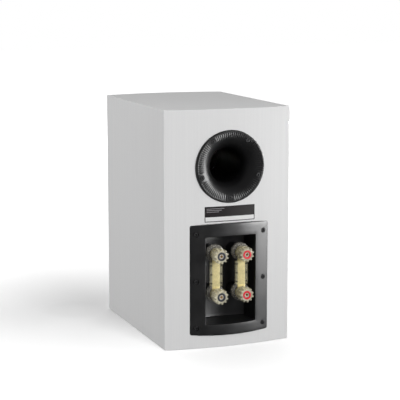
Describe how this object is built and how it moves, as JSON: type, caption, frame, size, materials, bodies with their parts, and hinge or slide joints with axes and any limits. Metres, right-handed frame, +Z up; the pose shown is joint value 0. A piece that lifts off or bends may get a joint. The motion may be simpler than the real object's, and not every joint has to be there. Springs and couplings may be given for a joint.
{
  "type": "bookshelf speaker",
  "caption": "White bowed bookshelf speaker cabinet with a flared rear bass port, a recessed bi-wire terminal cup with linked clear-knobbed posts, and a two-way driver pair on the front.",
  "frame": {"origin": "centre of the flat base, midway between the side panels' front and back edges", "axes": "+Z up, -Y the way the drivers face, +Y the way the port and the terminals face, +X across the cabinet"},
  "size_m": [0.196, 0.3155, 0.351],
  "materials": {
    "cabinet_wrap": "satin white vinyl wrap with a very fine upright grain, over fibreboard",
    "cabinet_board": "raw fibreboard",
    "wadding": "polyester wadding",
    "black_plastic": "moulded, fine texture",
    "surround_rubber": "matte butyl rubber",
    "cone_material": "coated woven cone",
    "spider_cloth": "resin-stiffened cloth",
    "copper_winding": "enamelled copper wire",
    "motor_steel": "zinc-plated steel",
    "ferrite": "sintered ferrite",
    "screw_steel": "zinc-plated",
    "dome_material": "coated soft dome",
    "port_plastic": "moulded, satin black",
    "black_screw": "black-oxide",
    "cup_plastic": "moulded, satin black",
    "clear_plastic": "clear moulded plastic",
    "gold_plate": "gold-plated brass",
    "label": "printed film, blank bars only",
    "circuit_board": "glass-fibre laminate",
    "capacitor_film": "wrapped film",
    "ceramic": "cement body",
    "wire_insulation": "soft insulation",
    "red_ring": "coloured plastic",
    "black_ring": "coloured plastic"
  },
  "bodies": {
    "cabinet": {"left_side_panel": "cabinet_wrap", "right_side_panel": "cabinet_wrap", "top_panel": "cabinet_wrap", "bottom_panel": "cabinet_wrap", "front_baffle": "cabinet_wrap", "rear_panel": "cabinet_wrap", "shelf_brace": "cabinet_board", "acoustic_wadding": "wadding", "woofer_basket": "black_plastic", "woofer_surround": "surround_rubber", "woofer_spider": "spider_cloth", "woofer_top_plate": "motor_steel", "woofer_magnet": "ferrite", "woofer_yoke": "motor_steel", "woofer_trim_ring": "black_plastic", "driver_screws": "screw_steel", "tweeter_faceplate": "black_plastic", "tweeter_top_plate": "motor_steel", "tweeter_magnet": "ferrite", "tweeter_yoke": "motor_steel", "tweeter_chamber": "black_plastic", "port_flare": "port_plastic", "port_tube": "port_plastic", "port_screws": "black_screw", "terminal_cup": "cup_plastic", "cup_screws": "black_screw", "post_collars": "clear_plastic", "post_studs": "gold_plate", "post_nuts": "gold_plate", "jumper_bars": "gold_plate", "jumper_covers": "clear_plastic", "jumper_screws": "black_screw", "rating_label": "label", "crossover_board": "circuit_board", "crossover_spacers": "screw_steel", "crossover_inductors": "copper_winding", "crossover_capacitors": "capacitor_film", "crossover_resistors": "ceramic", "internal_wires": "wire_insulation"},
    "woofer_cone_assembly": {"woofer_cone": "cone_material", "woofer_dust_cap": "cone_material", "woofer_voice_coil": "copper_winding"},
    "tweeter_dome_assembly": {"tweeter_dome": "dome_material", "tweeter_voice_coil": "copper_winding"},
    "upper_black_clamp": {"upper_black_washer": "gold_plate"},
    "upper_black_nut": {"upper_black_knob": "clear_plastic", "upper_black_core": "gold_plate", "upper_black_ring": "black_ring"},
    "lower_black_clamp": {"lower_black_washer": "gold_plate"},
    "lower_black_nut": {"lower_black_knob": "clear_plastic", "lower_black_core": "gold_plate", "lower_black_ring": "black_ring"},
    "upper_red_clamp": {"upper_red_washer": "gold_plate"},
    "upper_red_nut": {"upper_red_knob": "clear_plastic", "upper_red_core": "gold_plate", "upper_red_ring": "red_ring"},
    "lower_red_clamp": {"lower_red_washer": "gold_plate"},
    "lower_red_nut": {"lower_red_knob": "clear_plastic", "lower_red_core": "gold_plate", "lower_red_ring": "red_ring"}
  },
  "joints": [
    {"name": "woofer_travel", "type": "slide", "parent": "cabinet", "child": "woofer_cone_assembly", "axis": [0, -1, 0], "range_m": [-0.005, 0.005], "stiffness_N_per_m": 1500, "deforming": ["woofer_surround", "woofer_spider"]},
    {"name": "tweeter_travel", "type": "slide", "parent": "cabinet", "child": "tweeter_dome_assembly", "axis": [0, -1, 0], "range_m": [-0.0004, 0.0004], "stiffness_N_per_m": 1000},
    {"name": "upper_black_lift", "type": "slide", "parent": "cabinet", "child": "upper_black_clamp", "axis": [0, 1, 0], "range_m": [0, 0.005]},
    {"name": "upper_black_turn", "type": "hinge", "parent": "upper_black_clamp", "child": "upper_black_nut", "pos_m": [0.02, 0.15, 0.1392], "axis": [0, 1, 0], "range_deg": [0, 1800]},
    {"name": "lower_black_lift", "type": "slide", "parent": "cabinet", "child": "lower_black_clamp", "axis": [0, 1, 0], "range_m": [0, 0.005]},
    {"name": "lower_black_turn", "type": "hinge", "parent": "lower_black_clamp", "child": "lower_black_nut", "pos_m": [0.02, 0.15, 0.079], "axis": [0, 1, 0], "range_deg": [0, 1800]},
    {"name": "upper_red_lift", "type": "slide", "parent": "cabinet", "child": "upper_red_clamp", "axis": [0, 1, 0], "range_m": [0, 0.005]},
    {"name": "upper_red_turn", "type": "hinge", "parent": "upper_red_clamp", "child": "upper_red_nut", "pos_m": [-0.02, 0.15, 0.1392], "axis": [0, 1, 0], "range_deg": [0, 1800]},
    {"name": "lower_red_lift", "type": "slide", "parent": "cabinet", "child": "lower_red_clamp", "axis": [0, 1, 0], "range_m": [0, 0.005]},
    {"name": "lower_red_turn", "type": "hinge", "parent": "lower_red_clamp", "child": "lower_red_nut", "pos_m": [-0.02, 0.15, 0.079], "axis": [0, 1, 0], "range_deg": [0, 1800]}
  ],
  "couplings": [
    {"joint": "upper_black_turn", "follows": "upper_black_lift", "rad_per_m": 6283.2},
    {"joint": "lower_black_turn", "follows": "lower_black_lift", "rad_per_m": 6283.2},
    {"joint": "upper_red_turn", "follows": "upper_red_lift", "rad_per_m": 6283.2},
    {"joint": "lower_red_turn", "follows": "lower_red_lift", "rad_per_m": 6283.2}
  ]
}
